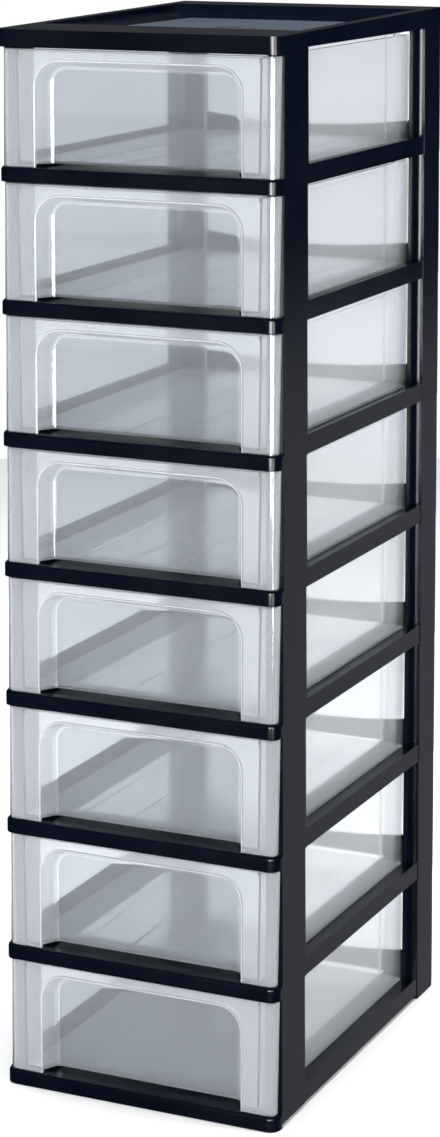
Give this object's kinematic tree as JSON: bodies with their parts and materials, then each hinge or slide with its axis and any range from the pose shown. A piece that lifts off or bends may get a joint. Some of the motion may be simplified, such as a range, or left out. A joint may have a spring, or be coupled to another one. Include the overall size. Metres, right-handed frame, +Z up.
{
  "type": "drawer tower",
  "caption": "Tall narrow tower of shallow sliding drawers for crafts and parts: stacked open frames, frosted drawers with wide finger recesses, tray-topped cover.",
  "frame": {"origin": "middle of the footprint, on the surface the tower stands on", "axes": "+Z up; the drawers open toward -Y; +X is the right side seen from the front"},
  "size_m": [0.26, 0.368, 0.925],
  "materials": {
    "frame_plastic": "satin, near-black navy",
    "drawer_plastic": "frosted translucent, smooth faces"
  },
  "bodies": {
    "tower": {"top_cover": "frame_plastic", "tier_frame_1": "frame_plastic", "tier_frame_2": "frame_plastic", "tier_frame_3": "frame_plastic", "tier_frame_4": "frame_plastic", "tier_frame_5": "frame_plastic", "tier_frame_6": "frame_plastic", "tier_frame_7": "frame_plastic", "tier_frame_8": "frame_plastic"},
    "drawer_1": {"drawer_1": "drawer_plastic"},
    "drawer_2": {"drawer_2": "drawer_plastic"},
    "drawer_3": {"drawer_3": "drawer_plastic"},
    "drawer_4": {"drawer_4": "drawer_plastic"},
    "drawer_5": {"drawer_5": "drawer_plastic"},
    "drawer_6": {"drawer_6": "drawer_plastic"},
    "drawer_7": {"drawer_7": "drawer_plastic"},
    "drawer_8": {"drawer_8": "drawer_plastic"}
  },
  "joints": [
    {"name": "drawer_1_slide", "type": "slide", "parent": "tower", "child": "drawer_1", "axis": [0, -1, 0], "range_m": [0, 0.25]},
    {"name": "drawer_2_slide", "type": "slide", "parent": "tower", "child": "drawer_2", "axis": [0, -1, 0], "range_m": [0, 0.25]},
    {"name": "drawer_3_slide", "type": "slide", "parent": "tower", "child": "drawer_3", "axis": [0, -1, 0], "range_m": [0, 0.25]},
    {"name": "drawer_4_slide", "type": "slide", "parent": "tower", "child": "drawer_4", "axis": [0, -1, 0], "range_m": [0, 0.25]},
    {"name": "drawer_5_slide", "type": "slide", "parent": "tower", "child": "drawer_5", "axis": [0, -1, 0], "range_m": [0, 0.25]},
    {"name": "drawer_6_slide", "type": "slide", "parent": "tower", "child": "drawer_6", "axis": [0, -1, 0], "range_m": [0, 0.25]},
    {"name": "drawer_7_slide", "type": "slide", "parent": "tower", "child": "drawer_7", "axis": [0, -1, 0], "range_m": [0, 0.25]},
    {"name": "drawer_8_slide", "type": "slide", "parent": "tower", "child": "drawer_8", "axis": [0, -1, 0], "range_m": [0, 0.25]}
  ]
}
